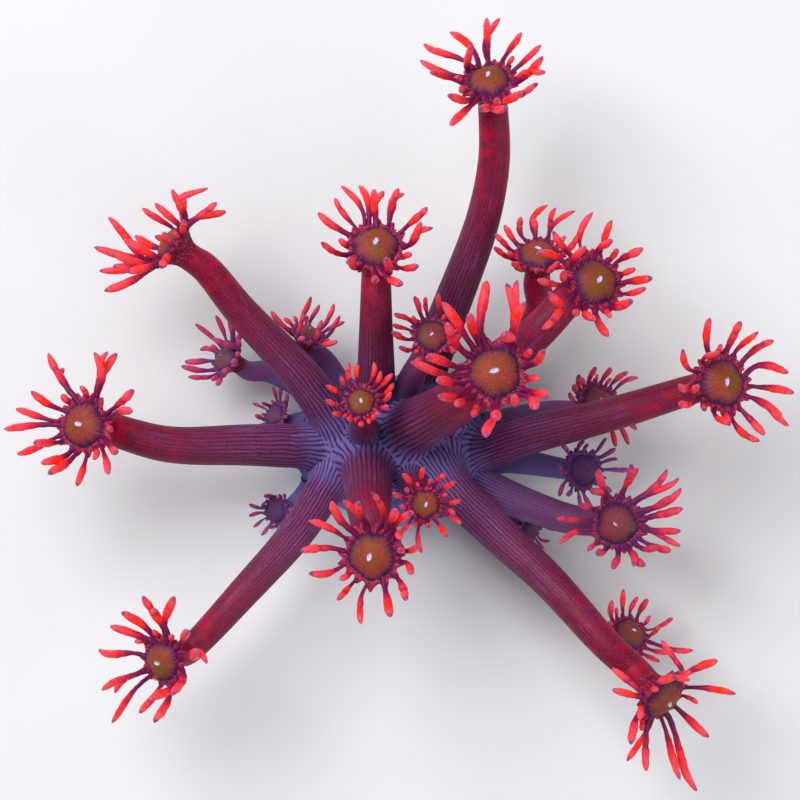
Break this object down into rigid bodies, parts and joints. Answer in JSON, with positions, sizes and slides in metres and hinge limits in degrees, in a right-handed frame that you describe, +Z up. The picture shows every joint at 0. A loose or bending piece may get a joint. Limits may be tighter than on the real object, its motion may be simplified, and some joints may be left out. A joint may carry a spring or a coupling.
{
  "type": "flowerpot coral",
  "caption": "Branching soft-bodied coral: a small stony base with long ribbed fleshy stalks, each ending in a domed mouth disc ringed by finger-like tentacles.",
  "frame": {"origin": "middle of the flat cut face under the base", "axes": "+Z up out of the cut face, the way the nearest polyps face; +X to the right and +Y to the top of the picture, which looks straight down on the coral"},
  "size_m": [0.1374, 0.1343, 0.0695],
  "materials": {
    "base_tissue": "stony skeleton under thin wet violet-blue tissue",
    "column_tissue": "wet crimson to maroon flesh with fine lengthwise ribs",
    "crown_tissue": "wet coral-red tentacles round an olive-gold mouth disc"
  },
  "bodies": {
    "root": {"base": "base_tissue", "column_top": "column_tissue", "column_upper_left": "column_tissue", "column_left": "column_tissue", "column_lower_left": "column_tissue", "column_upper_middle": "column_tissue", "column_lower_middle": "column_tissue", "column_lower_right": "column_tissue", "column_right": "column_tissue", "column_centre_right": "column_tissue", "column_upper_right_back": "column_tissue", "column_upper_right_front": "column_tissue", "column_right_lower": "column_tissue", "column_small_centre": "column_tissue", "column_lower_small": "column_tissue", "column_lower_right_behind": "column_tissue", "column_middle": "column_tissue", "column_right_behind": "column_tissue", "column_right_low": "column_tissue", "column_left_behind_long": "column_tissue", "column_left_behind_short": "column_tissue", "column_left_hidden": "column_tissue", "column_lower_left_hidden": "column_tissue", "column_lower_right_hidden": "column_tissue", "crown_top": "crown_tissue", "crown_upper_left": "crown_tissue", "crown_left": "crown_tissue", "crown_lower_left": "crown_tissue", "crown_upper_middle": "crown_tissue", "crown_lower_middle": "crown_tissue", "crown_lower_right": "crown_tissue", "crown_right": "crown_tissue", "crown_centre_right": "crown_tissue", "crown_upper_right_back": "crown_tissue", "crown_upper_right_front": "crown_tissue", "crown_right_lower": "crown_tissue", "crown_small_centre": "crown_tissue", "crown_lower_small": "crown_tissue", "crown_lower_right_behind": "crown_tissue", "crown_middle": "crown_tissue", "crown_right_behind": "crown_tissue", "crown_right_low": "crown_tissue", "crown_left_behind_long": "crown_tissue", "crown_left_behind_short": "crown_tissue", "crown_left_hidden": "crown_tissue", "crown_lower_left_hidden": "crown_tissue", "crown_lower_right_hidden": "crown_tissue"}
  },
  "joints": []
}
